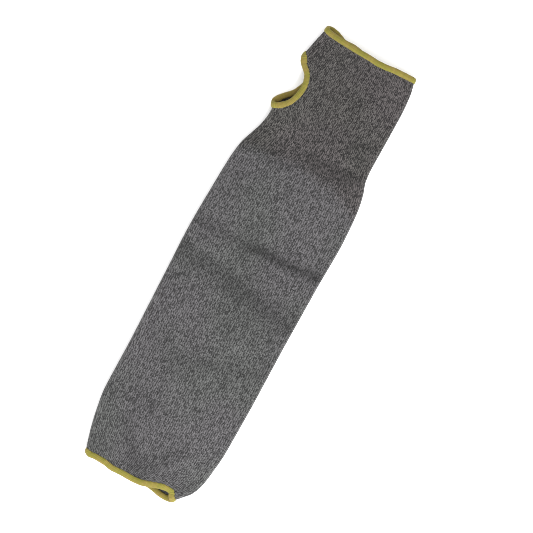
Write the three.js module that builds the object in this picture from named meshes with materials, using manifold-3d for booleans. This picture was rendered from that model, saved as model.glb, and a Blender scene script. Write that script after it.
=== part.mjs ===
// A cut-resistant arm sleeve, knitted as one tube and laid flat, with a thumb slot in one side fold and
// overlocked edges at its two mouths and round the slot.
// Millimetres. +Z up, +X towards the hand, +Y towards the thumb side. The origin is under the middle of
// the part, on the surface that it lies on.
import * as THREE from "three";
import { mergeVertices } from "three/addons/utils/BufferGeometryUtils.js";
import Module from "manifold-3d";

// Driving sizes
const KNIT_LENGTH = 449; // knit from the arm edge to the hand edge
const ARM_WIDTH = 131.5; // widest part of the tube, laid flat
const WALL = 1.6; // thickness of the knit
const LOFT = 3.8; // how far the upper layer stands above the side folds
const EDGE_GAP = 0.4; // clearance between the knit and the overlock thread round it
const THREAD = 0.8; // thickness of the overlock over the knit
const EDGE_REACH = 4.4; // how far the overlock reaches in from the knit's edge
const FOLD_CLEAR = 1.1; // free radius inside a side fold, between the overlock's inner legs
const SLOT_TO_HAND = 28.7; // from the slot to the hand edge
const SLOT_LENGTH = 53; // along the side fold
const SLOT_DEPTH = 16.7; // from the side fold to the slot's deepest point
const SLOT_GAPE = 2.2; // how far the slot's upper lip stands up
const SLOT_FLARE = 3.9; // how far the side fold is drawn out at the slot's arm end
const FLARE_RUN = 10; // length over which it is drawn out
const HAND_WAVE = 5; // how far the hand edge waves along X
const ARM_WAVE = 7.3; // how far the upper layer is drawn back at the arm edge's far corner
const FOLD_HEIGHT = 1.5; // of the deepest crease in the upper layer
const FOLD_WIDTH = 10; // half the width of a soft fold
const EASE_LENGTH = 26; // run over which an edge's lift off the surface, or its wave, dies out

// What follows from them
const PROUD = EDGE_GAP + THREAD; // an overlocked edge stands this far out of the knit
const FOLD_INSIDE = PROUD + FOLD_CLEAR;
const FOLD_RADIUS = FOLD_INSIDE + WALL; // of the tube's skin at its side folds
const FOLD_ARC = Math.PI * FOLD_RADIUS;
const HALF_WIDTH = ARM_WIDTH / 2;
const SLOT_END = KNIT_LENGTH - SLOT_TO_HAND;
const SLOT_START = SLOT_END - SLOT_LENGTH;

// The flat outline. along is a share of KNIT_LENGTH from the arm edge; thumb and far are the two side
// folds, as shares of HALF_WIDTH from the middle line; loft is a share of LOFT.
const OUTLINE = [
  { along: 0.0, thumb: 0.71, far: 0.665, loft: 0.92 },
  { along: 0.018, thumb: 0.759, far: 0.776, loft: 0.93 },
  { along: 0.034, thumb: 0.793, far: 0.87, loft: 0.94 },
  { along: 0.059, thumb: 0.839, far: 0.938, loft: 0.96 },
  { along: 0.092, thumb: 0.886, far: 0.973, loft: 1.0 },
  { along: 0.141, thumb: 0.932, far: 1.003, loft: 1.0 },
  { along: 0.24, thumb: 0.942, far: 1.008, loft: 1.0 },
  { along: 0.406, thumb: 0.98, far: 0.994, loft: 1.0 },
  { along: 0.521, thumb: 1.006, far: 0.994, loft: 0.97 },
  { along: 0.62, thumb: 0.991, far: 1.006, loft: 1.0 },
  { along: 0.678, thumb: 0.975, far: 0.989, loft: 1.0 },
  { along: 0.715, thumb: 0.944, far: 0.963, loft: 0.96 },
  { along: 0.744, thumb: 0.879, far: 0.921, loft: 0.9 },
  { along: 0.769, thumb: 0.822, far: 0.865, loft: 0.86 },
  { along: 0.798, thumb: 0.791, far: 0.846, loft: 0.88 },
  { along: 0.86, thumb: 0.789, far: 0.846, loft: 0.94 },
  { along: 0.92, thumb: 0.785, far: 0.844, loft: 0.98 },
  { along: 0.967, thumb: 0.73, far: 0.822, loft: 1.0 },
  { along: 1.0, thumb: 0.677, far: 0.772, loft: 1.0 },
];

// The two mouths. around is the share of the way round the tube, from the thumb fold over the upper
// layer to the far fold at 0.5, and back underneath. out is a share of HAND_WAVE away from the arm; in
// is a share of ARM_WAVE towards the hand.
const HAND_EDGE = [
  { around: 0.0, out: 0.9 },
  { around: 0.03, out: 0.4 },
  { around: 0.08, out: 0.14 },
  { around: 0.14, out: -0.02 },
  { around: 0.2, out: -0.14 },
  { around: 0.25, out: -0.18 },
  { around: 0.3, out: -0.3 },
  { around: 0.34, out: -0.2 },
  { around: 0.39, out: 0.06 },
  { around: 0.45, out: 0.2 },
  { around: 0.5, out: 0.26 },
  { around: 0.56, out: 0.26 },
  { around: 0.62, out: 0.16 },
  { around: 0.67, out: -0.14 },
  { around: 0.72, out: -0.22 },
  { around: 0.77, out: -0.12 },
  { around: 0.84, out: 0.26 },
  { around: 0.88, out: 0.2 },
  { around: 0.91, out: 0.58 },
  { around: 0.94, out: 0.97 },
  { around: 0.97, out: 1.12 },
];
const ARM_EDGE = [
  { around: 0.0, in: 0.19 },
  { around: 0.03, in: 0.03 },
  { around: 0.07, in: 0.13 },
  { around: 0.11, in: 0.11 },
  { around: 0.16, in: -0.07 },
  { around: 0.21, in: -0.01 },
  { around: 0.27, in: -0.01 },
  { around: 0.315, in: 0.08 },
  { around: 0.345, in: 0.34 },
  { around: 0.375, in: 0.68 },
  { around: 0.4, in: 0.93 },
  { around: 0.425, in: 1.0 },
  { around: 0.438, in: 0.95 },
  { around: 0.455, in: 0.62 },
  { around: 0.477, in: 0.22 },
  { around: 0.5, in: 0 },
  { around: 0.54, in: -0.15 },
  { around: 0.57, in: -0.1 },
  { around: 0.6, in: 0.03 },
  { around: 0.65, in: 0.2 },
  { around: 0.69, in: 0.08 },
  { around: 0.74, in: -0.03 },
  { around: 0.84, in: -0.03 },
  { around: 0.94, in: 0.05 },
];

// The slot's rim. along is a share of SLOT_LENGTH; top and under are shares of SLOT_DEPTH, in from the
// side fold on the upper and the lower layer, and below 0 past the fold on the other one. The slot's two
// ends are single points.
const SLOT_RIM = [
  { along: 0, top: 0.036, under: -0.036 },
  { along: 0.012, top: 0.172, under: 0.0 },
  { along: 0.037, top: 0.365, under: 0.015 },
  { along: 0.065, top: 0.5, under: 0.03 },
  { along: 0.115, top: 0.69, under: 0.1 },
  { along: 0.18, top: 0.85, under: 0.24 },
  { along: 0.26, top: 0.94, under: 0.45 },
  { along: 0.37, top: 1.0, under: 0.74 },
  { along: 0.48, top: 1.0, under: 0.87 },
  { along: 0.55, top: 0.96, under: 0.93 },
  { along: 0.63, top: 0.865, under: 0.93 },
  { along: 0.7, top: 0.745, under: 0.84 },
  { along: 0.776, top: 0.5, under: 0.66 },
  { along: 0.83, top: 0.3, under: 0.51 },
  { along: 0.885, top: 0.14, under: 0.38 },
  { along: 0.94, top: 0.04, under: 0.29 },
  { along: 0.985, top: -0.006, under: 0.208 },
  { along: 1, top: -0.079, under: 0.079 },
];

// Creases and soft folds of the upper layer, each along a line. x0 and x1 are shares of KNIT_LENGTH, y0
// and y1 of HALF_WIDTH; width is a share of FOLD_WIDTH and rise of FOLD_HEIGHT, below 0 for a valley.
const FOLDS = [
  { x0: 0.534, y0: 1.0, x1: 0.547, y1: -1.0, width: 0.55, rise: -0.75 },
  { x0: 0.54, y0: 0.0, x1: 0.549, y1: -1.0, width: 0.5, rise: -0.7 },
  { x0: 0.474, y0: 1.0, x1: 0.43, y1: -1.0, width: 1.1, rise: -0.8 },
  { x0: 0.505, y0: 0.9, x1: 0.49, y1: -0.9, width: 0.8, rise: 0.4 },
  { x0: 0.265, y0: 0.25, x1: 0.32, y1: -0.9, width: 0.9, rise: -0.5 },
  { x0: 0.735, y0: 0.75, x1: 0.748, y1: -0.6, width: 1.1, rise: -0.45 },
  { x0: 0.705, y0: 0.5, x1: 0.71, y1: -0.7, width: 0.8, rise: 0.3 },
  { x0: 0.784, y0: -0.35, x1: 0.796, y1: -0.8, width: 0.5, rise: 0.6 },
  { x0: 0.758, y0: -0.1, x1: 0.766, y1: -0.8, width: 0.6, rise: -0.7 },
  { x0: 0.825, y0: -0.45, x1: 0.845, y1: -0.8, width: 0.55, rise: -0.5 },
  { x0: 0.018, y0: -0.05, x1: 0.1, y1: 0.4, width: 0.7, rise: -0.6 },
  { x0: 0.03, y0: 0.45, x1: 0.12, y1: 0.72, width: 0.8, rise: 0.5 },
  { x0: 0.055, y0: -0.2, x1: 0.105, y1: -0.45, width: 0.7, rise: -0.45 },
  { x0: 0.016, y0: -0.57, x1: 0.034, y1: -0.72, width: 0.3, rise: -0.5 },
];

// Mesh steps: rows of facets along the tube, with from and to as shares of KNIT_LENGTH, and steps round
// each of the section's four stretches.
const STATIONS = [
  { from: 0, to: 0.07, steps: 10 },
  { from: 0.07, to: 0.42, steps: 7 },
  { from: 0.42, to: 0.58, steps: 9 },
  { from: 0.58, to: 0.72, steps: 3 },
  { from: 0.72, to: 0.8, steps: 5 },
  { from: 0.8, to: 0.96, steps: 16 },
  { from: 0.96, to: 1, steps: 4 },
];
const FOLD_STEPS = 8;
const TOP_STEPS = 13;
const UNDER_STEPS = 4;
const RIM_STEPS = 78;
const CUTTER_RINGS = 14;

const clamp = (value, low, high) => Math.min(high, Math.max(low, value));
const ease = (share) => THREE.MathUtils.smoothstep(share, 0, 1);
const wrap = (share) => share - Math.floor(share);

// A column's value between a table's rows: a cubic that turns only at the rows. A period joins the last
// row to the first.
function read(rows, key, column, at, period = 0) {
  const n = rows.length;
  const place = (i) => rows[(i + n) % n][key] + period * Math.floor(i / n);
  const value = (i) => rows[(i + n) % n][column];
  const slope = (row) => {
    const i = period ? row : clamp(row, 0, n - 2);
    return (value(i + 1) - value(i)) / (place(i + 1) - place(i));
  };
  const tangent = (i) => {
    const [before, after] = [slope(i - 1), slope(i)];
    return before * after > 0 ? (2 * before * after) / (before + after) : 0;
  };
  const x = period ? wrap(at / period) * period : at;
  const i = clamp(rows.filter((row) => row[key] <= x).length - 1, 0, period ? n - 1 : n - 2);
  const run = place(i + 1) - place(i);
  const t = (x - place(i)) / run;
  const [a, b] = [value(i), value(i + 1)];
  const [p, q] = [tangent(i) * run, tangent(i + 1) * run];
  return a + t * (p + t * (3 * (b - a) - 2 * p - q + t * (2 * (a - b) + p + q)));
}

// The flat outline at one place along the sleeve: its two side folds and its loft.
function outline(x) {
  const share = x / KNIT_LENGTH;
  const drawn = ease((x - SLOT_START + 0.6 * FLARE_RUN) / FLARE_RUN) * ease((SLOT_END - x) / SLOT_LENGTH);
  return {
    thumb: HALF_WIDTH * read(OUTLINE, "along", "thumb", share) + SLOT_FLARE * drawn,
    far: -HALF_WIDTH * read(OUTLINE, "along", "far", share),
    loft: LOFT * read(OUTLINE, "along", "loft", share),
  };
}

// The section at one place along the sleeve. A side fold that runs aslant is wider in the section, so
// that it stays round across its own line. flat is the flat stretch of each layer between the folds.
function section(x) {
  const { thumb, far, loft } = outline(x);
  const [before, after] = [outline(x - FOLD_RADIUS), outline(x + FOLD_RADIUS)];
  const thumbRound = Math.hypot(FOLD_RADIUS, (after.thumb - before.thumb) / 2);
  const farRound = Math.hypot(FOLD_RADIUS, (after.far - before.far) / 2);
  return { thumb, far, loft, thumbRound, farRound, flat: thumb - thumbRound - far - farRound };
}
const girth = (s) => 2 * s.flat + 2 * FOLD_ARC;

// How far the knit is lifted off the surface by its thicker overlocked edges: 1 at an edge, 0 away from it.
function nearEdge(x, y, thumb) {
  const mouth = Math.max(ease(1 - x / EASE_LENGTH), ease(1 - (KNIT_LENGTH - x) / EASE_LENGTH));
  const reach = EDGE_REACH + PROUD;
  const fromSlot = Math.hypot(
    (x - (SLOT_START + SLOT_END) / 2) / (SLOT_LENGTH / 2 + reach),
    (y - thumb) / (SLOT_DEPTH + reach),
  );
  const slot = ease(2 - fromSlot);
  return 1 - (1 - mouth) * (1 - slot);
}

// Height that the creases, the soft folds and the slot's raised lip add to the upper layer.
function relief(x, y, thumb) {
  let height = 0;
  for (const fold of FOLDS) {
    const from = [fold.x0 * KNIT_LENGTH, fold.y0 * HALF_WIDTH];
    const run = [fold.x1 * KNIT_LENGTH - from[0], fold.y1 * HALF_WIDTH - from[1]];
    const length = Math.hypot(...run);
    const way = ((x - from[0]) * run[0] + (y - from[1]) * run[1]) / length;
    const aside = ((x - from[0]) * run[1] - (y - from[1]) * run[0]) / length;
    const past = Math.max(-way, way - length, 0);
    const width = fold.width * FOLD_WIDTH;
    height += fold.rise * FOLD_HEIGHT * Math.exp(-((aside / width) ** 2) - (past / FOLD_WIDTH) ** 2);
  }
  const fromLip = Math.hypot(
    (x - (SLOT_START + SLOT_END) / 2) / (0.45 * SLOT_LENGTH),
    (y - thumb + SLOT_DEPTH) / SLOT_DEPTH,
  );
  return height + SLOT_GAPE * Math.exp(-(fromLip ** 2));
}

// A point of the tube's outer skin: x along the sleeve, around the share of the way round it.
function skin(x, around) {
  const s = section(x);
  const way = wrap(around) * girth(s);
  const ends = [FOLD_ARC / 2, FOLD_ARC / 2 + s.flat, 1.5 * FOLD_ARC + s.flat, 1.5 * FOLD_ARC + 2 * s.flat];
  let [y, z] = [0, 0];
  if (way < ends[0]) {
    const turn = way / FOLD_RADIUS;
    y = s.thumb - s.thumbRound * (1 - Math.cos(turn));
    z = FOLD_RADIUS * (1 + Math.sin(turn));
  } else if (way < ends[1]) {
    y = s.thumb - s.thumbRound - (way - ends[0]);
    const share = 1 - (2 * (way - ends[0])) / s.flat;
    z = 2 * FOLD_RADIUS + s.loft * (1 - share ** 4) ** 2 + relief(x, y, s.thumb) * (1 - share ** 8) ** 2;
  } else if (way < ends[2]) {
    const turn = (way - ends[1]) / FOLD_RADIUS;
    y = s.far + s.farRound * (1 - Math.sin(turn));
    z = FOLD_RADIUS * (1 + Math.cos(turn));
  } else if (way < ends[3]) {
    y = s.far + s.farRound + (way - ends[2]);
  } else {
    const turn = (way - ends[3]) / FOLD_RADIUS;
    y = s.thumb - s.thumbRound * (1 - Math.sin(turn));
    z = FOLD_RADIUS * (1 - Math.cos(turn));
  }
  return new THREE.Vector3(x, y, z + PROUD * nearEdge(x, y, s.thumb));
}

// A point of the knit, or a little off it: out is measured outwards from the middle of its thickness.
function knit(x, around, out = 0) {
  const step = 0.05;
  const turn = step / girth(section(x));
  const lengthwise = skin(x + step, around).sub(skin(x - step, around));
  const across = skin(x, around + turn).sub(skin(x, around - turn));
  const normal = across.cross(lengthwise).normalize();
  return skin(x, around).addScaledVector(normal, out - WALL / 2);
}

// Shares of the way round at which a mesh has its lines, for the section at x: even steps on each of the
// two folds and the two layers.
function linesRound(x, foldSteps) {
  const { flat } = section(x);
  const stretches = [
    [FOLD_ARC / 2, foldSteps / 2],
    [flat, TOP_STEPS],
    [FOLD_ARC, foldSteps],
    [flat, UNDER_STEPS],
    [FOLD_ARC / 2, foldSteps / 2],
  ];
  const whole = 2 * flat + 2 * FOLD_ARC;
  const shares = [];
  let way = 0;
  for (const [length, steps] of stretches) {
    for (let i = 0; i < steps; i++) shares.push((way + (length * i) / steps) / whole);
    way += length;
  }
  return shares;
}

// The places of those lines on the cloth, on the mesh row that would lie at station if the mouths were
// cut straight. A mouth's wave dies out away from it.
function clothPlaces(station, foldSteps) {
  const near = (distance) => ease(1 - distance / (2 * EASE_LENGTH));
  const shifted = (around) => {
    const arm = ARM_WAVE * read(ARM_EDGE, "around", "in", around, 1) * near(station);
    const hand = HAND_WAVE * read(HAND_EDGE, "around", "out", around, 1) * near(KNIT_LENGTH - station);
    return station + arm + hand;
  };
  return linesRound(station, foldSteps).map((rough, line) => {
    const around = linesRound(shifted(rough), foldSteps)[line];
    return { x: shifted(around), around };
  });
}

// Geometry from rings of points. Rings join end to end into a closed band, or have a pole at each end.
// Each four-sided facet is split along its shorter diagonal.
function ringMesh(rings, poles = []) {
  const size = rings[0].length;
  const points = rings.flat();
  const faces = [];
  const split = (a, b, c, d) =>
    points[a].distanceTo(points[c]) < points[b].distanceTo(points[d]) ? [a, b, c, a, c, d] : [a, b, d, b, c, d];
  const last = poles.length ? rings.length - 1 : rings.length;
  for (let r = 0; r < last; r++)
    for (let i = 0; i < size; i++) {
      const [a, b] = [r * size, ((r + 1) % rings.length) * size];
      const next = (i + 1) % size;
      faces.push(...split(a + i, b + i, b + next, a + next));
    }
  poles.forEach((pole, end) => {
    const base = end ? (rings.length - 1) * size : 0;
    for (let i = 0; i < size; i++) {
      const pair = [base + i, base + ((i + 1) % size)];
      if (end) pair.reverse();
      faces.push(points.length + end, ...pair);
    }
  });
  const geometry = new THREE.BufferGeometry().setFromPoints([...points, ...poles]);
  geometry.setIndex(faces);
  return geometry;
}

// The tube's wall before the slot is cut: each ring runs along the outside and back along the inside.
function tubeGeometry() {
  const stations = STATIONS.flatMap(({ from, to, steps }) =>
    Array.from({ length: steps }, (_, i) => (from + ((to - from) * i) / steps) * KNIT_LENGTH),
  );
  const rows = [...stations, KNIT_LENGTH].map((station) => clothPlaces(station, FOLD_STEPS));
  const rings = rows[0].map((_, line) => {
    const outside = rows.map((row) => knit(row[line].x, row[line].around, WALL / 2));
    const inside = rows.map((row) => knit(row[line].x, row[line].around, -WALL / 2));
    return [...outside, ...inside.reverse()];
  });
  return ringMesh(rings);
}

// The slot's rim as a closed line of cloth places: x along the sleeve, way in millimetres from the side
// fold, above 0 on the upper layer.
function slotRim() {
  const wayAt = (depth) =>
    depth > FOLD_RADIUS
      ? FOLD_ARC / 2 + depth - FOLD_RADIUS
      : Math.sign(depth) * FOLD_RADIUS * Math.acos(1 - Math.abs(depth) / FOLD_RADIUS);
  const place = (row, column, side) =>
    new THREE.Vector3(SLOT_START + row.along * SLOT_LENGTH, side * wayAt(row[column] * SLOT_DEPTH), 0);
  const rows = [
    ...SLOT_RIM.map((row) => place(row, "top", 1)),
    ...SLOT_RIM.slice(1, -1).map((row) => place(row, "under", -1)).reverse(),
  ];
  return new THREE.CatmullRomCurve3(rows, true, "centripetal").getPoints(RIM_STEPS).slice(0, -1);
}

// What is cut away for the slot: the rim's outline drawn in to its middle, through the whole wall.
function slotCutter() {
  const rim = slotRim();
  const middle = new THREE.Vector3((SLOT_START + SLOT_END) / 2, 0, 0);
  const outs = [WALL / 2 + FOLD_CLEAR, -WALL / 2 - FOLD_CLEAR];
  const drawn = Array.from({ length: CUTTER_RINGS }, (_, i) => (i + 1) / CUTTER_RINGS);
  const point = (place, out) => knit(place.x, place.y / girth(section(place.x)), out);
  const ring = (share, out) => rim.map((place) => point(middle.clone().lerp(place, share), out));
  const rings = [
    ...drawn.map((share) => ring(share, outs[0])),
    ...drawn.toReversed().map((share) => ring(share, outs[1])),
  ];
  return ringMesh(rings, outs.map((out) => point(middle, out)));
}

// The overlock's section as [in from the knit's edge, out from the knit's middle]: a round-backed
// channel that holds the edge. Two more points let its outer leg bend round a side fold.
function overlockSection() {
  const inner = WALL / 2 + EDGE_GAP;
  const outer = inner + THREAD;
  const back = [90, 150, 210, 270].map((degrees) => {
    const turn = THREE.MathUtils.degToRad(degrees);
    return [THREAD + (THREAD + PROUD) * Math.cos(turn), outer * Math.sin(turn)];
  });
  return [
    [EDGE_REACH, inner],
    [EDGE_REACH - THREAD, outer],
    ...back,
    [EDGE_REACH - THREAD, -outer],
    [EDGE_REACH, -inner],
    [-EDGE_GAP, -inner],
    [-EDGE_GAP, inner],
    [EDGE_REACH / 3, inner],
    [(2 * EDGE_REACH) / 3, inner],
  ];
}

// An overlocked edge along a closed line of places on the cloth, each x along the sleeve and around it.
// side is 1 where the knit lies on the arm's side of a line that runs on round the tube, or outside a
// slot's rim, and -1 where it lies on the hand's side.
function overlockGeometry(places, side) {
  const profile = side > 0 ? overlockSection() : overlockSection().reverse();
  const n = places.length;
  const step = 0.001;
  const line = places.map(({ x, around }) => knit(x, around));
  const heading = (i) => line[(i + 1) % n].clone().sub(line[i]).normalize();
  const rings = places.map(({ x, around }, i) => {
    const run = heading(i).add(heading((i + n - 1) % n)).normalize();
    const alongX = knit(x + step, around).sub(knit(x - step, around)).divideScalar(2 * step);
    const aroundX = knit(x, around + step).sub(knit(x, around - step)).divideScalar(2 * step);
    const normal = aroundX.clone().cross(alongX).normalize();
    const inwards = run.clone().cross(normal).multiplyScalar(side);
    const area = normal.dot(aroundX.clone().cross(alongX));
    const perX = normal.dot(aroundX.clone().cross(inwards)) / area;
    const perAround = normal.dot(inwards.clone().cross(alongX)) / area;
    return profile.map(([inward, out]) => knit(x + inward * perX, around + inward * perAround, out));
  });
  return ringMesh(rings);
}

const wasm = await Module();
wasm.setup();

function solidFrom(geometry) {
  const bare = mergeVertices(geometry, 1e-4);
  const vertProperties = bare.attributes.position.array;
  return new wasm.Manifold(new wasm.Mesh({ numProp: 3, vertProperties, triVerts: bare.index.array }));
}

function geometryFrom(solid) {
  const { vertProperties, triVerts } = solid.getMesh();
  const geometry = new THREE.BufferGeometry();
  geometry.setAttribute("position", new THREE.BufferAttribute(vertProperties, 3));
  geometry.setIndex(new THREE.BufferAttribute(triVerts, 1));
  return geometry;
}

const greyKnit = new THREE.MeshStandardMaterial({ color: 0x626161, roughness: 0.95, metalness: 0 });
const yellowThread = new THREE.MeshStandardMaterial({ color: 0xa8993f, roughness: 0.85, metalness: 0 });

function piece(name, geometry, material) {
  const mesh = new THREE.Mesh(geometry, material);
  mesh.name = name;
  geometry.computeVertexNormals();
  return mesh;
}

const knitTube = geometryFrom(solidFrom(tubeGeometry()).subtract(solidFrom(slotCutter())));
const slotPlaces = slotRim().map(({ x, y }) => ({ x, around: y / girth(section(x)) }));

const sleeve = new THREE.Group();
sleeve.add(
  piece("knit_tube", knitTube, greyKnit),
  piece("hand_edge_overlock", overlockGeometry(clothPlaces(KNIT_LENGTH, 2 * FOLD_STEPS), 1), yellowThread),
  piece("arm_edge_overlock", overlockGeometry(clothPlaces(0, 2 * FOLD_STEPS), -1), yellowThread),
  piece("thumb_slot_overlock", overlockGeometry(slotPlaces, 1), yellowThread),
);

// The part's box is centred over the origin and stands on it.
const box = new THREE.Box3().setFromObject(sleeve);
const centre = box.getCenter(new THREE.Vector3());
sleeve.position.set(-centre.x, -centre.y, -box.min.z);

export default sleeve;
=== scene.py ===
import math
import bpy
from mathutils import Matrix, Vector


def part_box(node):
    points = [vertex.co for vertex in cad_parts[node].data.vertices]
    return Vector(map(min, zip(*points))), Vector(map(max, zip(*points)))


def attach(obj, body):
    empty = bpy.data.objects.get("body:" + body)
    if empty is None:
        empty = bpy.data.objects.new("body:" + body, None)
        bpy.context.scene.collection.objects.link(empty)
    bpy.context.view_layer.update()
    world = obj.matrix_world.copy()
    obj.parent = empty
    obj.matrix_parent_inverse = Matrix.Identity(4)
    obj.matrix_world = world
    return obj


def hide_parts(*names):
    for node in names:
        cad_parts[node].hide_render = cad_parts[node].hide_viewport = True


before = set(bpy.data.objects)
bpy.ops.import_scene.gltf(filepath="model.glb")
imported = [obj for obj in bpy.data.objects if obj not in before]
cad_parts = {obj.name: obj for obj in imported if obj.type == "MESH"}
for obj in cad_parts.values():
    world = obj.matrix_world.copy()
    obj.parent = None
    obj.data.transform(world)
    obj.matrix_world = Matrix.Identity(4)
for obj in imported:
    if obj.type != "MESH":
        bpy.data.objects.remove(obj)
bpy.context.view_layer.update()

# A cut-resistant arm sleeve lying flat: one knitted tube with a thumb slot in a side fold, and thick
# overlock stitching round its two mouths and the slot. The cloth's surface is the one that its solids
# have, with the knit's ribs and the stitches' threads added. Sizes are in millimetres until a mesh is
# made. x runs along the sleeve from the arm edge; around is the share of the way round the tube, from
# the thumb side fold over the upper layer to the far side fold at 0.5, and back underneath.
from types import SimpleNamespace

import bmesh
import bpy
import numpy as np
from mathutils import Vector

# The cloth's driving sizes
KNIT_LENGTH = 449  # knit from the arm edge to the hand edge
ARM_WIDTH = 131.5  # widest part of the tube, laid flat
WALL = 1.6  # thickness of the knit
LOFT = 3.8  # how far the upper layer stands above the side folds
EDGE_GAP = 0.4  # clearance between the knit and the overlock thread round it
THREAD = 0.8  # thickness of the overlock over the knit
EDGE_REACH = 4.4  # how far the overlock reaches in from the knit's edge
FOLD_CLEAR = 1.1  # free radius inside a side fold, between the overlock's inner legs
SLOT_TO_HAND = 28.7  # from the slot to the hand edge
SLOT_LENGTH = 53  # along the side fold
SLOT_DEPTH = 16.7  # from the side fold to the slot's deepest point
SLOT_GAPE = 2.2  # how far the slot's upper lip stands up
SLOT_FLARE = 3.9  # how far the side fold is drawn out at the slot's arm end
FLARE_RUN = 10  # length over which it is drawn out
HAND_WAVE = 5  # how far the hand edge waves along x
ARM_WAVE = 7.3  # how far the upper layer is drawn back at the arm edge's far corner
FOLD_HEIGHT = 1.5  # rise of a fold whose share of it is 1
FOLD_WIDTH = 10  # half the width of a fold whose share of it is 1
EASE_LENGTH = 26  # run over which an edge's lift off the surface dies out; its wave takes twice that

PROUD = EDGE_GAP + THREAD
FOLD_RADIUS = PROUD + FOLD_CLEAR + WALL
FOLD_ARC = math.pi * FOLD_RADIUS
HALF_WIDTH = ARM_WIDTH / 2
SLOT_END = KNIT_LENGTH - SLOT_TO_HAND
SLOT_START = SLOT_END - SLOT_LENGTH
SLOT_MIDDLE = (SLOT_START + SLOT_END) / 2

# The flat outline: share of the length, thumb fold, far fold, loft
OUTLINE = [
    (0.0, 0.71, 0.665, 0.92),
    (0.018, 0.759, 0.776, 0.93),
    (0.034, 0.793, 0.87, 0.94),
    (0.059, 0.839, 0.938, 0.96),
    (0.092, 0.886, 0.973, 1.0),
    (0.141, 0.932, 1.003, 1.0),
    (0.24, 0.942, 1.008, 1.0),
    (0.406, 0.98, 0.994, 1.0),
    (0.521, 1.006, 0.994, 0.97),
    (0.62, 0.991, 1.006, 1.0),
    (0.678, 0.975, 0.989, 1.0),
    (0.715, 0.944, 0.963, 0.96),
    (0.744, 0.879, 0.921, 0.9),
    (0.769, 0.822, 0.865, 0.86),
    (0.798, 0.791, 0.846, 0.88),
    (0.86, 0.789, 0.846, 0.94),
    (0.92, 0.785, 0.844, 0.98),
    (0.967, 0.73, 0.822, 1.0),
    (1.0, 0.677, 0.772, 1.0),
]
# The hand mouth's wave: share of the way round, share of HAND_WAVE away from the arm
HAND_EDGE = [
    (0.0, 0.9), (0.03, 0.4), (0.08, 0.14), (0.14, -0.02), (0.2, -0.14), (0.25, -0.18), (0.3, -0.3),
    (0.34, -0.2), (0.39, 0.06), (0.45, 0.2), (0.5, 0.26), (0.56, 0.26), (0.62, 0.16), (0.67, -0.14),
    (0.72, -0.22), (0.77, -0.12), (0.84, 0.26), (0.88, 0.2), (0.91, 0.58), (0.94, 0.97), (0.97, 1.12),
]
# The arm mouth's wave: share of the way round, share of ARM_WAVE towards the hand
ARM_EDGE = [
    (0.0, 0.19), (0.03, 0.03), (0.07, 0.13), (0.11, 0.11), (0.16, -0.07), (0.21, -0.01), (0.27, -0.01),
    (0.315, 0.08), (0.345, 0.34), (0.375, 0.68), (0.4, 0.93), (0.425, 1.0), (0.438, 0.95),
    (0.455, 0.62), (0.477, 0.22), (0.5, 0.0), (0.54, -0.15), (0.57, -0.1), (0.6, 0.03), (0.65, 0.2),
    (0.69, 0.08), (0.74, -0.03), (0.84, -0.03), (0.94, 0.05),
]
# The slot's rim: share of its length, depth on the upper and on the lower layer as shares of SLOT_DEPTH,
# below 0 past the fold on the other layer. Its two ends are single points.
SLOT_RIM = [
    (0, 0.036, -0.036),
    (0.012, 0.172, 0.0),
    (0.037, 0.365, 0.015),
    (0.065, 0.5, 0.03),
    (0.115, 0.69, 0.1),
    (0.18, 0.85, 0.24),
    (0.26, 0.94, 0.45),
    (0.37, 1.0, 0.74),
    (0.48, 1.0, 0.87),
    (0.55, 0.96, 0.93),
    (0.63, 0.865, 0.93),
    (0.7, 0.745, 0.84),
    (0.776, 0.5, 0.66),
    (0.83, 0.3, 0.51),
    (0.885, 0.14, 0.38),
    (0.94, 0.04, 0.29),
    (0.985, -0.006, 0.208),
    (1, -0.079, 0.079),
]
# Creases and soft folds of the upper layer, each along a line: x0, y0, x1, y1 as shares of KNIT_LENGTH
# and HALF_WIDTH, then width and rise as shares of FOLD_WIDTH and FOLD_HEIGHT
FOLDS = [
    (0.534, 1.0, 0.547, -1.0, 0.55, -0.75),
    (0.54, 0.0, 0.549, -1.0, 0.5, -0.7),
    (0.474, 1.0, 0.43, -1.0, 1.1, -0.8),
    (0.505, 0.9, 0.49, -0.9, 0.8, 0.4),
    (0.265, 0.25, 0.32, -0.9, 0.9, -0.5),
    (0.735, 0.75, 0.748, -0.6, 1.1, -0.45),
    (0.705, 0.5, 0.71, -0.7, 0.8, 0.3),
    (0.784, -0.35, 0.796, -0.8, 0.5, 0.6),
    (0.758, -0.1, 0.766, -0.8, 0.6, -0.7),
    (0.825, -0.45, 0.845, -0.8, 0.55, -0.5),
    (0.018, -0.05, 0.1, 0.4, 0.7, -0.6),
    (0.03, 0.45, 0.12, 0.72, 0.8, 0.5),
    (0.055, -0.2, 0.105, -0.45, 0.7, -0.45),
    (0.016, -0.57, 0.034, -0.72, 0.3, -0.5),
]

# The knit: ribs round the tube, the length of a course, and how far a rib and a slack wave stand out
WALES = 132
COLUMNS_PER_WALE = 4
COURSE = 1.35
RIB = 0.24
SLACK = 0.22
# Rows of facets along the tube: from and to as shares of KNIT_LENGTH, steps. The inside has every second.
STATIONS = [
    (0, 0.07, 16), (0.07, 0.42, 40), (0.42, 0.58, 30), (0.58, 0.72, 16), (0.72, 0.8, 12),
    (0.8, 0.96, 30), (0.96, 1, 8),
]
INNER_ROW_STEP = 2
# Points along the cut round the slot and its rings, and along the lines that the overlocks follow
RIM_STEPS = 200
CUTTER_RINGS = 16
MOUTH_LINE_STEPS = 2000
SLOT_LINE_STEPS = 4000

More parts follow.
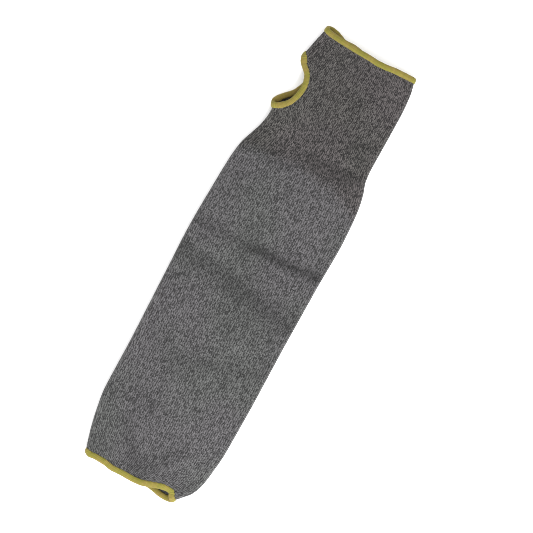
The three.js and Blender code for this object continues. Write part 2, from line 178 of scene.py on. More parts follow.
# The overlock: spacing of its wraps, rings to a wrap, how far a wrap stands out and slants, how much
# its ends stagger, and how square the band's section is
WRAP = 1.1
RINGS_PER_WRAP = 6
WRAP_HEIGHT = 0.26
WRAP_SLANT = 1.6
STAGGER = 0.2
SQUARENESS = 2.5
BAND_POINTS = 19

# The shades of the yarn: place on the ramp and grey, from its darkest fibres to its lightest
GREYS = [(0.0, 0.009), (0.25, 0.034), (0.5, 0.075), (0.75, 0.107), (1.0, 0.13)]
# The closer, warmer knit over the hand: where its border starts and ends along x in metres, how much the
# border bows towards the arm at the side folds, how uneven it is, and the tint
HAND_KNIT_FROM = 0.094
HAND_KNIT_TO = 0.112
HAND_KNIT_BOW = 4.0
HAND_KNIT_UNEVEN = 0.02
HAND_KNIT_TINT = (0.80, 0.75, 0.72, 1)
# The thread's colours on the band's front, over its back and underneath; the back and underneath ones are
# painted shade
THREAD_FRONT = (0.165, 0.14, 0.024, 1)
THREAD_BACK_IN_SHADE = (0.152, 0.123, 0.022, 1)
THREAD_UNDER_IN_SHADE = (0.146, 0.116, 0.02, 1)

# The light: strength of the white room, then the lamp's place in metres, its size and its power. The
# floor: half its side, and how far it lies below the part's lowest plane, in metres
ROOM_LIGHT = 1.5
LAMP_PLACE = (-1.25, -0.7, 1.1)
LAMP_SIZE = 0.8
LAMP_POWER = 44
FLOOR_SIZE = 4
FLOOR_DROP = 0.0002

# The photograph's frame: its side on the surface and its middle in metres, its turn in degrees, and how
# wide each of its pixels reads
VIEW_SIDE = 0.4936
VIEW_MIDDLE = (0.0058, -0.0147)
VIEW_TURN = -60.83
LENS = 200
SENSOR = 36
PIXEL_FILTER = 0.9


def ease(share):
    share = np.clip(share, 0, 1)
    return share * share * (3 - 2 * share)


def read(rows, column, at, period=None):
    """A column's value between a table's rows: a cubic that turns only at the rows."""
    table = np.array(rows, float)
    places, values = table[:, 0], table[:, column]
    if period:
        at = np.mod(at, period)
        places = np.concatenate([places[-2:] - period, places, places[:2] + period])
        values = np.concatenate([values[-2:], values, values[:2]])
    slopes = np.diff(values) / np.diff(places)
    before = np.concatenate([slopes[:1], slopes])
    after = np.concatenate([slopes, slopes[-1:]])
    product, total = before * after, before + after
    tangents = np.where(product > 0, 2 * product / np.where(product > 0, total, 1), 0)
    i = np.clip(np.searchsorted(places, at, "right") - 1, 0, len(places) - 2)
    run = places[i + 1] - places[i]
    t = (at - places[i]) / run
    a, b = values[i], values[i + 1]
    p, q = tangents[i] * run, tangents[i + 1] * run
    return a + t * (p + t * (3 * (b - a) - 2 * p - q + t * (2 * (a - b) + p + q)))


def outline(x):
    """The two side folds and the loft at x."""
    share = x / KNIT_LENGTH
    drawn = ease((x - SLOT_START + 0.6 * FLARE_RUN) / FLARE_RUN) * ease((SLOT_END - x) / SLOT_LENGTH)
    thumb = HALF_WIDTH * read(OUTLINE, 1, share) + SLOT_FLARE * drawn
    far = -HALF_WIDTH * read(OUTLINE, 2, share)
    return thumb, far, LOFT * read(OUTLINE, 3, share)


def section(x):
    """The folds, the loft, both folds' widths and the flat stretch between them at x."""
    thumb, far, loft = outline(x)
    before, after = outline(x - FOLD_RADIUS), outline(x + FOLD_RADIUS)
    thumb_round = np.hypot(FOLD_RADIUS, (after[0] - before[0]) / 2)
    far_round = np.hypot(FOLD_RADIUS, (after[1] - before[1]) / 2)
    return thumb, far, loft, thumb_round, far_round, thumb - thumb_round - far - far_round


def girth(x):
    return 2 * section(x)[5] + 2 * FOLD_ARC


def near_edge(x, y, thumb):
    """1 at an overlocked edge and 0 away from it: how far the thick edge lifts the cloth."""
    mouth = np.maximum(ease(1 - x / EASE_LENGTH), ease(1 - (KNIT_LENGTH - x) / EASE_LENGTH))
    reach = EDGE_REACH + PROUD
    from_slot = np.hypot((x - SLOT_MIDDLE) / (SLOT_LENGTH / 2 + reach), (y - thumb) / (SLOT_DEPTH + reach))
    return 1 - (1 - mouth) * (1 - ease(2 - from_slot))


def creases(x, y):
    """Height of the creases and soft folds."""
    height = 0
    for x0, y0, x1, y1, width, rise in FOLDS:
        start = (x0 * KNIT_LENGTH, y0 * HALF_WIDTH)
        run = (x1 * KNIT_LENGTH - start[0], y1 * HALF_WIDTH - start[1])
        length = math.hypot(*run)
        way = ((x - start[0]) * run[0] + (y - start[1]) * run[1]) / length
        aside = ((x - start[0]) * run[1] - (y - start[1]) * run[0]) / length
        past = np.maximum(np.maximum(-way, way - length), 0)
        bell = (aside / (width * FOLD_WIDTH)) ** 2 + (past / FOLD_WIDTH) ** 2
        height = height + rise * FOLD_HEIGHT * np.exp(-bell)
    return height


def slack(x, y):
    """Shallow waves of cloth that lies loose."""
    waves = np.sin(x / 9.5 + np.sin(y / 17) * 1.3) * np.sin(y / 12.5 + np.sin(x / 31) * 1.6)
    ripples = np.sin(x / 5.3 - y / 21 + 2) * np.sin(y / 8.1 + x / 37)
    return SLACK * (waves + 0.5 * ripples)


def relief(x, y, thumb):
    """Height that creases, slack and the slot's raised lip add to the upper layer."""
    from_lip = np.hypot((x - SLOT_MIDDLE) / (0.45 * SLOT_LENGTH), (y - thumb + SLOT_DEPTH) / SLOT_DEPTH)
    return creases(x, y) + slack(x, y) + SLOT_GAPE * np.exp(-(from_lip**2))


def skin(x, around):
    """Points of the tube's outer skin."""
    x, around = np.broadcast_arrays(np.asarray(x, float), np.asarray(around, float))
    thumb, far, loft, thumb_round, far_round, flat = section(x)
    way = np.mod(around, 1) * (2 * flat + 2 * FOLD_ARC)
    ends = [FOLD_ARC / 2, FOLD_ARC / 2 + flat, 1.5 * FOLD_ARC + flat, 1.5 * FOLD_ARC + 2 * flat]
    here = [way < ends[0], way < ends[1], way < ends[2], way < ends[3]]
    first, far_turn, last = way / FOLD_RADIUS, (way - ends[1]) / FOLD_RADIUS, (way - ends[3]) / FOLD_RADIUS
    top_y = thumb - thumb_round - (way - ends[0])
    y = np.select(
        here,
        [
            thumb - thumb_round * (1 - np.cos(first)),
            top_y,
            far + far_round * (1 - np.sin(far_turn)),
            far + far_round + (way - ends[2]),
        ],
        thumb - thumb_round * (1 - np.sin(last)),
    )
    share = np.clip(1 - 2 * (way - ends[0]) / flat, -1, 1)
    raised = loft * (1 - share**4) ** 2 + relief(x, y, thumb) * (1 - share**8) ** 2
    z = np.select(
        here,
        [
            FOLD_RADIUS * (1 + np.sin(first)),
            2 * FOLD_RADIUS + raised,
            FOLD_RADIUS * (1 + np.cos(far_turn)),
            0 * way,
        ],
        FOLD_RADIUS * (1 - np.cos(last)),
    )
    return np.stack([x, y, z + PROUD * near_edge(x, y, thumb)], -1)


def knit(x, around, out=0.0):
    """Points of the cloth: out is measured outwards from the middle of its thickness."""
    step = 0.05
    turn = step / girth(x)
    lengthwise = skin(x + step, around) - skin(x - step, around)
    across = skin(x, around + turn) - skin(x, around - turn)
    normal = np.cross(across, lengthwise)
    normal /= np.linalg.norm(normal, axis=-1, keepdims=True)
    return skin(x, around) + normal * (np.asarray(out)[..., None] - WALL / 2)


def waved(station, around):
    """x of a row of knitting, which follows the waves of the mouths near them."""
    arm = ARM_WAVE * read(ARM_EDGE, 1, around, 1) * ease(1 - station / (2 * EASE_LENGTH))
    hand = HAND_WAVE * read(HAND_EDGE, 1, around, 1) * ease(1 - (KNIT_LENGTH - station) / (2 * EASE_LENGTH))
    return station + arm + hand


def mesh_piece(name, points, faces, values=None):
    """An object from points in millimetres, in the sleeve's own frame; values go with the points."""
    mesh = bpy.data.meshes.new(name)
    made = bmesh.new()
    corners = [made.verts.new(point) for point in points / 1000]
    for face in faces:
        made.faces.new([corners[i] for i in face])
    bmesh.ops.recalc_face_normals(made, faces=made.faces[:])
    made.to_mesh(mesh)
    made.free()
    mesh.shade_smooth()
    for label, vectors in (values or {}).items():
        mesh.attributes.new(label, "FLOAT_VECTOR", "POINT").data.foreach_set("vector", vectors.ravel())
    piece = bpy.data.objects.new(name, mesh)
    bpy.context.scene.collection.objects.link(piece)
    return piece


def grid_faces(rows, columns, start=0):
    """Quads between rows of points that each close on themselves."""
    for r in range(rows - 1):
        a, b = start + r * columns, start + (r + 1) * columns
        for i in range(columns):
            j = (i + 1) % columns
            yield a + i, a + j, b + j, b + i


def tube_faces(rows, inner_rows):
    """The outside's and the inside's quads, and the faces that join them round the two mouths."""
    columns = WALES * COLUMNS_PER_WALE
    start = rows * columns
    faces = list(grid_faces(rows, columns)) + list(grid_faces(inner_rows, WALES, start))
    middle = COLUMNS_PER_WALE // 2
    mouths = [(0, start), ((rows - 1) * columns, start + (inner_rows - 1) * WALES)]
    for outer, inner in mouths:
        for wale in range(WALES):
            a, b = inner + wale, inner + (wale + 1) % WALES
            fan = [outer + (wale * COLUMNS_PER_WALE + i) % columns for i in range(COLUMNS_PER_WALE + 1)]
            for i in range(COLUMNS_PER_WALE):
                faces.append((fan[i], fan[i + 1], a if i < middle else b))
            faces.append((fan[middle], b, a))
    return faces


def stitch_values(rows, around):
    """For each point of a grid, the turn round the tube as a cosine and a sine, and its course."""
    turn = 2 * np.pi * around + 0 * rows
    return np.stack([np.cos(turn), np.sin(turn), rows / COURSE + 0 * turn], -1).reshape(-1, 3)


def tube_mesh(shift):
    """The knitted tube before its slot is cut: a ribbed outside and a plainer inside."""
    stations = [
        (low + (high - low) * i / steps) * KNIT_LENGTH for low, high, steps in STATIONS for i in range(steps)
    ]
    stations = np.array(stations + [KNIT_LENGTH])[:, None]
    columns = WALES * COLUMNS_PER_WALE
    around = np.arange(columns)[None, :] / columns
    rib = RIB * (np.abs(np.sin(np.pi * WALES * around)) ** 0.6 - 0.6)
    flatter = ease((np.minimum(stations, KNIT_LENGTH - stations) - 1) / EDGE_REACH)
    outside = knit(waved(stations, around), around + 0 * stations, WALL / 2 + rib * flatter)
    inner_stations = np.concatenate([stations[:-1:INNER_ROW_STEP], stations[-1:]])
    inner_around = np.arange(WALES)[None, :] / WALES
    inside = knit(waved(inner_stations, inner_around), inner_around + 0 * inner_stations, -WALL / 2)

    points = np.concatenate([outside.reshape(-1, 3), inside.reshape(-1, 3)])
    stitch = np.concatenate([stitch_values(stations, around), stitch_values(inner_stations, inner_around)])
    # The inside skin is marked so that the shader darkens it as painted shade
    reverse = np.concatenate([np.zeros(outside.size // 3), np.ones(inside.size // 3)])
    # Painted shade: how deep each crease lies, on the upper layer only, for the shader to darken
    crease_shade = -np.minimum(creases(points[:, 0], points[:, 1]), 0) / FOLD_HEIGHT
    upper = points[:, 2] > FOLD_RADIUS
    shade_marks = np.stack([reverse, crease_shade * upper, 0 * reverse], -1)
    faces = tube_faces(len(stations), len(inner_stations))
    return mesh_piece("knitted_tube", points + shift, faces, {"stitch": stitch, "shade_marks": shade_marks})


def slot_rim(steps):
    """The slot's rim as a closed line of x and way, the distance from the side fold over the cloth."""

    def way(depth):
        over = depth > FOLD_RADIUS
        turn = np.sign(depth) * np.arccos(np.clip(1 - np.abs(depth) / FOLD_RADIUS, -1, 1))
        return np.where(over, FOLD_ARC / 2 + depth - FOLD_RADIUS, FOLD_RADIUS * turn)

    table = np.array(SLOT_RIM)
    along = SLOT_START + table[:, 0] * SLOT_LENGTH
    top = np.stack([along, way(table[:, 1] * SLOT_DEPTH)], -1)
    under = np.stack([along, -way(table[:, 2] * SLOT_DEPTH)], -1)
    rows = np.concatenate([top, under[-2:0:-1]])
    count = len(rows)
    line = []
    for k in range(steps):
        at = k * count / steps
        i, t = int(at), at - int(at)
        p = [rows[(i + j) % count] for j in (-1, 0, 1, 2)]
        d = [max(np.linalg.norm(p[j + 1] - p[j]) ** 0.5, 1e-6) for j in range(3)]
        run = d[1]
        leave = ((p[1] - p[0]) / d[0] - (p[2] - p[0]) / (d[0] + d[1]) + (p[2] - p[1]) / d[1]) * run
        reach = ((p[2] - p[1]) / d[1] - (p[3] - p[1]) / (d[1] + d[2]) + (p[3] - p[2]) / d[2]) * run
        bend = 3 * (p[2] - p[1]) - 2 * leave - reach
        line.append(p[1] + t * (leave + t * (bend + t * (2 * (p[1] - p[2]) + leave + reach))))
    return np.array(line)


def slot_cutter(shift):
    """What is cut away for the slot, through the whole wall."""
    rim = slot_rim(RIM_STEPS)
    middle = np.array([SLOT_MIDDLE, 0])
    outs = [WALL / 2 + FOLD_CLEAR, -WALL / 2 - FOLD_CLEAR]
    drawn = [(i + 1) / CUTTER_RINGS for i in range(CUTTER_RINGS)]
    rings = [(share, outs[0]) for share in drawn] + [(share, outs[1]) for share in reversed(drawn)]
    points = []
    for share, out in rings:
        place = middle + (rim - middle) * share
        points.append(knit(place[:, 0], place[:, 1] / girth(place[:, 0]), out))
    faces = list(grid_faces(len(rings), RIM_STEPS))
    for end, out in enumerate(outs):
        pole, base = len(rings) * RIM_STEPS + end, end * (len(rings) - 1) * RIM_STEPS
        points.append(knit(middle[:1], middle[1:] / girth(middle[:1]), out))
        faces += [(pole, base + i, base + (i + 1) % RIM_STEPS) for i in range(RIM_STEPS)]
    return mesh_piece("slot_cutter", np.concatenate(points) + shift, faces)


def cut_slot(tube, cutter):
    """Cuts the slot and leaves the plain mesh that results."""
    modifier = tube.modifiers.new("slot", "BOOLEAN")
    modifier.operation = "DIFFERENCE"
    modifier.solver = "MANIFOLD"
    modifier.object = cutter
    cut = bpy.data.meshes.new_from_object(tube.evaluated_get(bpy.context.evaluated_depsgraph_get()))
    tube.modifiers.clear()
    tube.data = cut
    cut.shade_smooth()
    bpy.data.objects.remove(cutter)


def even_places(line, spacing, per_step):
    """Places spread evenly along a closed line of x and around, with the count of steps."""
    points = knit(line[:, 0], line[:, 1])
    lengths = np.linalg.norm(np.roll(points, -1, 0) - points, axis=1)
    ends = np.concatenate([[0], np.cumsum(lengths)])
    steps = round(ends[-1] / spacing)
    at = np.arange(steps * per_step) * ends[-1] / (steps * per_step)
    closed = np.concatenate([line, line[:1] + [[0, round(line[-1, 1] - line[0, 1])]]])
    return np.stack([np.interp(at, ends, closed[:, k]) for k in (0, 1)], -1), steps


def band_section():
    """The overlock's section, a channel round the knit's edge: in from the edge, out from the cloth's
    middle, and 1 where thread shows."""
    middle, half = (EDGE_REACH - PROUD) / 2, (EDGE_REACH + PROUD) / 2
    height = WALL / 2 + PROUD
    foot = math.asin((0.95 * WALL / 2 / height) ** (SQUARENESS / 2))
    turns = np.linspace(foot, 2 * math.pi - foot, BAND_POINTS)
    power = 2 / SQUARENESS
    inward = middle + half * np.sign(np.cos(turns)) * np.abs(np.cos(turns)) ** power
    out = height * np.sign(np.sin(turns)) * np.abs(np.sin(turns)) ** power
    outer = np.stack([inward, out, 0 * out + 1], -1)
    face = 0.9 * WALL / 2
    stops = [(0.66, -1), (0.33, -1), (-0.02, -1), (-0.02, 1), (0.33, 1), (0.66, 1)]
    inner = [(share * EDGE_REACH, sign * face, 0) for share, sign in stops]
    return np.concatenate([outer, inner])


def inward_rates(places, side):
    """How much x and around change for a millimetre in from the cloth's edge, at each place of a closed
    line. side is 1 where the cloth lies on the arm's side of a line that runs on round the tube, or
    outside a slot's rim."""
    x, around = places[:, 0], places[:, 1]
    points = knit(x, around)
    ahead = np.roll(points, -1, 0) - points
    ahead /= np.linalg.norm(ahead, axis=1, keepdims=True)
    run = ahead + np.roll(ahead, 1, 0)
    run /= np.linalg.norm(run, axis=1, keepdims=True)
    step = 0.001
    along_x = (knit(x + step, around) - knit(x - step, around)) / (2 * step)
    around_x = (knit(x, around + step) - knit(x, around - step)) / (2 * step)
    normal = np.cross(around_x, along_x)
    area = np.linalg.norm(normal, axis=1, keepdims=True)
    normal /= area
    inwards = np.cross(run, normal) * side
    per_x = (normal * np.cross(around_x, inwards)).sum(1) / area[:, 0]
    per_around = (normal * np.cross(inwards, along_x)).sum(1) / area[:, 0]
    return per_x[:, None], per_around[:, None]


def overlock(name, line, side, shift, seed):
    """Threads wrapped side by side over the edge along a closed line of x and around."""
    chance = np.random.default_rng(seed)
    places, wraps = even_places(line, WRAP, RINGS_PER_WRAP)
    profile = band_section()
    rings, size = len(places), len(profile)
    per_x, per_around = inward_rates(places, side)

    ring = np.arange(rings)[:, None] / RINGS_PER_WRAP
    contour = np.concatenate([np.linspace(0, 1, BAND_POINTS), np.zeros(size - BAND_POINTS)])[None, :]
    shows = profile[None, :, 2]
    phase = ring + WRAP_SLANT * contour
    ridge = np.abs(np.sin(np.pi * phase)) ** 0.7 - 0.55
    wrap = np.floor(ring).astype(int) % wraps
    reach = chance.normal(0, 0.5, wraps)[wrap]
    ends = np.abs(2 * contour - 1) ** 3
    stagger = STAGGER * (np.sin(np.pi * ring) ** 2 - 0.5 + reach * 0.5) * ends
    slope = np.gradient(profile[:BAND_POINTS, :2], axis=0)
    slope /= np.linalg.norm(slope, axis=1, keepdims=True)
    outwards = np.zeros((size, 2))
    outwards[:BAND_POINTS] = np.stack([slope[:, 1], -slope[:, 0]], -1)
    uneven = 1 + 0.25 * chance.normal(0, 1, wraps)[wrap]
    lift = WRAP_HEIGHT * ridge * uneven * shows
    inward = profile[None, :, 0] + lift * outwards[None, :, 0] + stagger * shows
    out = profile[None, :, 1] + lift * outwards[None, :, 1]
    surface = knit(places[:, :1] + inward * per_x, places[:, 1:] + inward * per_around, out)
    faces = []
    for r in range(rings):
        a, b = r * size, (r + 1) % rings * size
        faces += [(a + i, a + (i + 1) % size, b + (i + 1) % size, b + i) for i in range(size)]
    bare = 0 * inward
    values = np.stack([phase + bare, contour + bare, bare], -1).reshape(-1, 3)
    return mesh_piece(name, surface.reshape(-1, 3) + shift, faces, {"thread": values})


def mouth_line(station):
    around = np.arange(MOUTH_LINE_STEPS) / MOUTH_LINE_STEPS
    return np.stack([waved(station, around), around], -1)


def node(tree, kind, inputs=None, **settings):
    """A shader node. inputs maps its sockets to values or to other nodes' outputs."""
    made = tree.nodes.new(kind)
    for name, value in settings.items():
        setattr(made, name, value)
    for socket, value in (inputs or {}).items():
        if isinstance(value, bpy.types.NodeSocket):
            tree.links.new(value, made.inputs[socket])
        else:
            made.inputs[socket].default_value = value
    return made


def maths(tree, operation, *values):
    return node(tree, "ShaderNodeMath", dict(enumerate(values)), operation=operation).outputs[0]


def added(tree, first, second):
    return maths(tree, "ADD", first, second)


def less(tree, first, second):
    return maths(tree, "SUBTRACT", first, second)


def times(tree, first, second):
    return maths(tree, "MULTIPLY", first, second)


def vector(tree, x=0.0, y=0.0, z=0.0):
    return node(tree, "ShaderNodeCombineXYZ", {"X": x, "Y": y, "Z": z}).outputs[0]


def spread(tree, value, low, high, to_low=0.0, to_high=1.0):
    """Takes low to to_low and high to to_high along a smooth step."""
    inputs = {"Value": value, "From Min": low, "From Max": high, "To Min": to_low, "To Max": to_high}
    return node(tree, "ShaderNodeMapRange", inputs, interpolation_type="SMOOTHSTEP").outputs[0]


def blend(tree, share, first, second, kind="MIX"):
    inputs = {"Factor": share, 6: first, 7: second}
    return node(tree, "ShaderNodeMix", inputs, data_type="RGBA", blend_type=kind).outputs[2]


def tinted(tree, colour, tint):
    return blend(tree, 1.0, colour, tint, "MULTIPLY")


def shaded(tree, colour, light):
    """A colour made darker or lighter by a number."""
    return tinted(tree, colour, vector(tree, light, light, light))


def noise(tree, place, scale, detail=2.0, rough=0.5):
    inputs = {"Vector": place, "Scale": scale, "Detail": detail, "Roughness": rough}
    return node(tree, "ShaderNodeTexNoise", inputs).outputs[0]


def hashed(tree, x, y, z=0.0):
    """A number from 0 to 1 that is the same all over a cell."""
    return node(tree, "ShaderNodeTexWhiteNoise", {"Vector": vector(tree, x, y, z)}).outputs["Value"]


def new_material(name):
    material = bpy.data.materials.new(name)
    material.use_nodes = True
    tree = material.node_tree
    shader = tree.nodes["Principled BSDF"]
    return material, tree, shader


def attribute_parts(tree, name):
    source = node(tree, "ShaderNodeAttribute", attribute_name=name)
    return node(tree, "ShaderNodeSeparateXYZ", {0: source.outputs["Vector"]}).outputs


def stitch_place(tree, place):
    """Where a point is on the knit: its wale, course and column, how far it is from the middle of its V
    stitch, how deep the furrows are there, and its course along the leaning leg."""
    turn_x, turn_y, course = attribute_parts(tree, "stitch")
    wale = times(tree, maths(tree, "ARCTAN2", turn_y, turn_x), WALES / (2 * math.pi))
    wobble = less(tree, noise(tree, place, 90, 1), 0.5)
    wale = added(tree, wale, times(tree, wobble, 0.35))
    column = maths(tree, "FLOOR", wale)
    offset = less(tree, maths(tree, "FRACT", wale), 0.5)
    apart = maths(tree, "ABSOLUTE", offset)
    furrow = maths(tree, "POWER", times(tree, apart, 2), 2.5)
    middle = maths(tree, "MAXIMUM", less(tree, 1, times(tree, apart, 6)), 0)
    shaken = hashed(tree, column, 7.0)
    leaning = added(tree, course, times(tree, apart, 1.3))
    leaning = added(tree, leaning, times(tree, shaken, 0.6))
    return SimpleNamespace(
        wale=wale, course=course, column=column, offset=offset, furrow=furrow, middle=middle,
        shaken=shaken, leaning=leaning,
    )


def stitch_height(tree, at):
    """Height of a stitch's two legs, with a deep furrow between ribs and a shallow one between the legs."""
    along = less(tree, maths(tree, "FRACT", at.leaning), 0.5)
    swell = times(tree, times(tree, along, along), -4)
    legs = less(tree, times(tree, added(tree, swell, 1), 0.3), at.furrow)
    return added(tree, added(tree, legs, times(tree, at.middle, -0.3)), 0.7)


def over_hand(tree, place):
    """1 over the hand, where the knit is closer, and 0 on the arm."""
    x, y, _ = node(tree, "ShaderNodeSeparateXYZ", {0: place}).outputs
    bow = times(tree, maths(tree, "POWER", maths(tree, "ABSOLUTE", y), 2), HAND_KNIT_BOW)
    uneven = times(tree, less(tree, noise(tree, place, 30), 0.5), HAND_KNIT_UNEVEN)
    return spread(tree, added(tree, added(tree, x, bow), uneven), HAND_KNIT_FROM, HAND_KNIT_TO)


def yarn_grey(tree, at, fibre, hand):
    """Grey of the marled yarn: a leg's own, a streak's along the rib, and fibres."""
    leg = added(tree, times(tree, at.column, 4), maths(tree, "SIGN", at.offset))
    own = hashed(tree, leg, maths(tree, "FLOOR", at.leaning), 3.0)
    streak = noise(tree, vector(tree, times(tree, at.column, 3.7), times(tree, at.course, 0.34)), 1.0, 1)
    shade = added(tree, times(tree, own, 0.62), times(tree, streak, 0.07))
    shade = added(tree, shade, times(tree, fibre, 0.45))
    contrast = added(tree, 1.08, times(tree, hand, 0.4))
    shade = times(tree, less(tree, shade, 0.6), contrast)
    ramp = node(tree, "ShaderNodeValToRGB", {"Fac": added(tree, shade, 0.47)})
    for _ in GREYS[2:]:
        ramp.color_ramp.elements.new(0.5)
    for stop, (position, grey) in zip(ramp.color_ramp.elements, GREYS):
        stop.position = position
        stop.color = (grey, grey * 0.985, grey * 0.99, 1)
    return ramp.outputs["Color"]


def knit_gap(tree, at):
    """Light left in the gaps: dark dashes between ribs, and a faint line down the middle of each V."""
    beside = maths(tree, "FLOOR", added(tree, at.wale, 0.5))
    step = maths(tree, "FLOOR", added(tree, at.course, times(tree, at.shaken, 3)))
    dash = spread(tree, hashed(tree, beside, step, 5.0), 0.15, 0.85, 0.35, 1.0)
    dark = times(tree, dash, at.furrow)
    return less(tree, less(tree, 1, dark), times(tree, at.middle, 0.2))


def knit_material():
    """Plain knit of marled yarn: V stitches along ribs, each leg its own mix of dark and light fibres."""
    material, tree, shader = new_material("grey_marl_knit")
    reverse, crease_shade, _ = attribute_parts(tree, "shade_marks")
    place = node(tree, "ShaderNodeTexCoord").outputs["Object"]
    at = stitch_place(tree, place)
    hand = over_hand(tree, place)
    fibre = noise(tree, vector(tree, times(tree, at.wale, 5), times(tree, at.leaning, 2.2)), 1.0)

    # Grey that drifts a little and is warmer over the hand, with painted shade darkening the creases and the
    # inside of the tube
    colour = shaded(tree, yarn_grey(tree, at, fibre, hand), knit_gap(tree, at))
    colour = blend(tree, hand, colour, tinted(tree, colour, HAND_KNIT_TINT))
    warm = spread(tree, noise(tree, place, 14, 1), 0.35, 0.65)
    colour = tinted(tree, colour, blend(tree, warm, (0.98, 1.01, 0.98, 1), (1.015, 0.985, 1.02, 1)))
    drift = spread(tree, noise(tree, place, 26, 2), 0.3, 0.7, 0.97, 1.1)
    # Painted shade: drift is a real random tone, and the creases are darkened by their depth
    drift_and_crease_shade = less(tree, drift, times(tree, crease_shade, 0.4))
    # Painted shade: the inside of the tube is darker
    colour = shaded(tree, colour, less(tree, drift_and_crease_shade, times(tree, reverse, 0.6)))

    height = added(tree, stitch_height(tree, at), times(tree, fibre, 0.35))
    bump = node(tree, "ShaderNodeBump", {"Height": height, "Strength": 0.7, "Distance": 0.0004})
    tree.links.new(colour, shader.inputs["Base Color"])
    tree.links.new(bump.outputs[0], shader.inputs["Normal"])
    tree.links.new(spread(tree, fibre, 0.2, 0.8, 0.82, 0.98), shader.inputs["Roughness"])
    shader.inputs["Sheen Weight"].default_value = 0.15
    shader.inputs["Sheen Roughness"].default_value = 0.5
    shader.inputs["Specular IOR Level"].default_value = 0.25
    return material


def thread_material():
    """Mustard yellow thread, each wrap a little different, with painted shade making it duller over the
    edge's back and underneath.
    """
    material, tree, shader = new_material("mustard_thread")
    phase, contour, _ = attribute_parts(tree, "thread")
    place = node(tree, "ShaderNodeTexCoord").outputs["Object"]
    # Painted shade: the thread is duller over the band's back and underneath
    colour = blend(tree, spread(tree, contour, 0.12, 0.42), THREAD_FRONT, THREAD_BACK_IN_SHADE)
    colour = blend(tree, spread(tree, contour, 0.55, 0.8), colour, THREAD_UNDER_IN_SHADE)
    patch = spread(tree, noise(tree, place, 130, 2), 0.35, 0.65)
    colour = tinted(tree, colour, blend(tree, patch, (0.9, 0.97, 0.75, 1), (1.08, 1.0, 1.2, 1)))

    # Painted shade darkens the thread between wraps, and each wrap has its own random tone
    within = less(tree, maths(tree, "FRACT", phase), 0.5)
    hump = less(tree, 1, times(tree, times(tree, within, within), 4))
    own = hashed(tree, maths(tree, "FLOOR", phase), 1.0)
    light = added(tree, spread(tree, hump, 0.0, 0.7, 0.78, 1.0), times(tree, own, 0.16))
    colour = shaded(tree, colour, light)

    twist = added(tree, times(tree, phase, 3), times(tree, contour, 22))
    plies = noise(tree, vector(tree, twist, times(tree, contour, 3)), 1.0)
    bump = node(tree, "ShaderNodeBump", {"Height": plies, "Strength": 0.5, "Distance": 0.0002})
    tree.links.new(colour, shader.inputs["Base Color"])
    tree.links.new(bump.outputs[0], shader.inputs["Normal"])
    tree.links.new(spread(tree, plies, 0.2, 0.8, 0.6, 0.85), shader.inputs["Roughness"])
    shader.inputs["Sheen Weight"].default_value = 0.1
    shader.inputs["Specular IOR Level"].default_value = 0.2
    return material


def floor_material():
    material, tree, shader = new_material("pale_floor")
    place = node(tree, "ShaderNodeTexCoord").outputs["Object"]
    shade = spread(tree, noise(tree, place, 3), 0.3, 0.7, 0.93, 0.95)
    tree.links.new(vector(tree, shade, shade, shade), shader.inputs["Base Color"])
    shader.inputs["Roughness"].default_value = 0.9
    shader.inputs["Specular IOR Level"].default_value = 0.1
    return material


def add_camera():
    data = bpy.data.cameras.new("camera")
    data.lens = LENS
    data.sensor_width = SENSOR
    camera = bpy.data.objects.new("camera", data)
    distance = VIEW_SIDE * LENS / SENSOR
    camera.location = (*VIEW_MIDDLE, distance)
    camera.rotation_euler = (0, 0, math.radians(VIEW_TURN))
    data.clip_end = 20
    bpy.context.scene.collection.objects.link(camera)
    bpy.context.scene.camera = camera


def add_lamp(name, place, size, power):
    data = bpy.data.lights.new(name, "AREA")
    data.shape = "DISK"
    data.size = size
    data.energy = power
    lamp = bpy.data.objects.new(name, data)
    lamp.location = place
    direction = -np.array(place) / np.linalg.norm(place)
    lamp.rotation_mode = "QUATERNION"
    lamp.rotation_quaternion = Vector(direction).to_track_quat("-Z", "Y")
    bpy.context.scene.collection.objects.link(lamp)


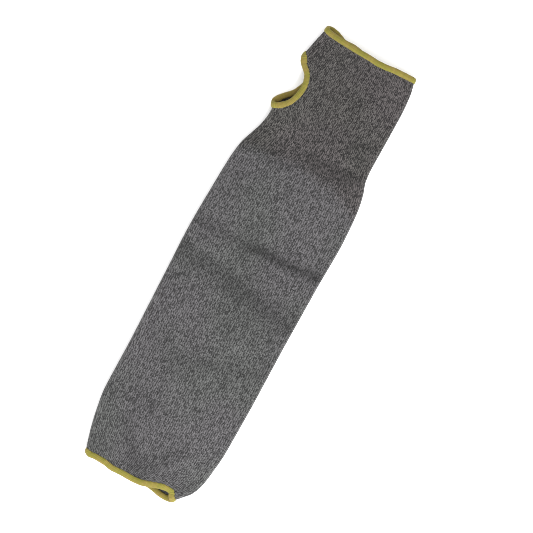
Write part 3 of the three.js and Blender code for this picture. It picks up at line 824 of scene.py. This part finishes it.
def add_surroundings():
    """Soft white light from all round, a large lamp from the photograph's lower edge, and the floor."""
    world = bpy.data.worlds.new("white_room")
    world.use_nodes = True
    background = world.node_tree.nodes["Background"]
    background.inputs["Color"].default_value = (1, 1, 1, 1)
    background.inputs["Strength"].default_value = ROOM_LIGHT
    bpy.context.scene.world = world
    add_lamp("key", LAMP_PLACE, LAMP_SIZE, LAMP_POWER)
    floor = bpy.data.meshes.new("floor")
    made = bmesh.new()
    bmesh.ops.create_grid(made, x_segments=1, y_segments=1, size=FLOOR_SIZE)
    made.to_mesh(floor)
    made.free()
    floor.materials.append(floor_material())
    ground = bpy.data.objects.new("floor", floor)
    ground.location = (0, 0, -FLOOR_DROP)
    bpy.context.scene.collection.objects.link(ground)
    bpy.context.scene.view_settings.view_transform = "Standard"
    bpy.context.scene.cycles.filter_width = PIXEL_FILTER


def cloth_area():
    """The tube's cloth, cut open and laid flat, in square metres."""
    x = np.linspace(0, KNIT_LENGTH, 200)
    return float(girth(x).mean() * KNIT_LENGTH * 1e-6)


add_camera()
add_surroundings()

# The cloth's middle and lowest point go where its solid has them
stations, shares = np.meshgrid(np.linspace(0, KNIT_LENGTH, 300), np.arange(600) / 600)
sample = knit(waved(stations, shares), shares, WALL / 2).reshape(-1, 3)
low, high = (np.array(corner) * 1000 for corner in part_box("knit_tube"))
shift = (low + high - sample.min(0) - sample.max(0)) / 2
shift[2] = low[2] - sample[:, 2].min()

tube = tube_mesh(shift)
cut_slot(tube, slot_cutter(shift))
rim = slot_rim(SLOT_LINE_STEPS)
rim[:, 1] /= girth(rim[:, 0])
bands = [
    overlock("hand_overlock", mouth_line(KNIT_LENGTH), 1, shift, 11),
    overlock("arm_overlock", mouth_line(0), -1, shift, 12),
    overlock("slot_overlock", rim, 1, shift, 13),
]
nodes = ["hand_edge_overlock", "arm_edge_overlock", "thumb_slot_overlock"]

tube.data.materials.clear()
tube.data.materials.append(knit_material())
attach(tube, "root")
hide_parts("knit_tube")
thread = thread_material()
for band, name in zip(bands, nodes):
    band.data.materials.append(thread)
    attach(band, "root")
    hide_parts(name)

widest = float(girth(np.linspace(0, KNIT_LENGTH, 200)).max()) / 1000
cloth_area()
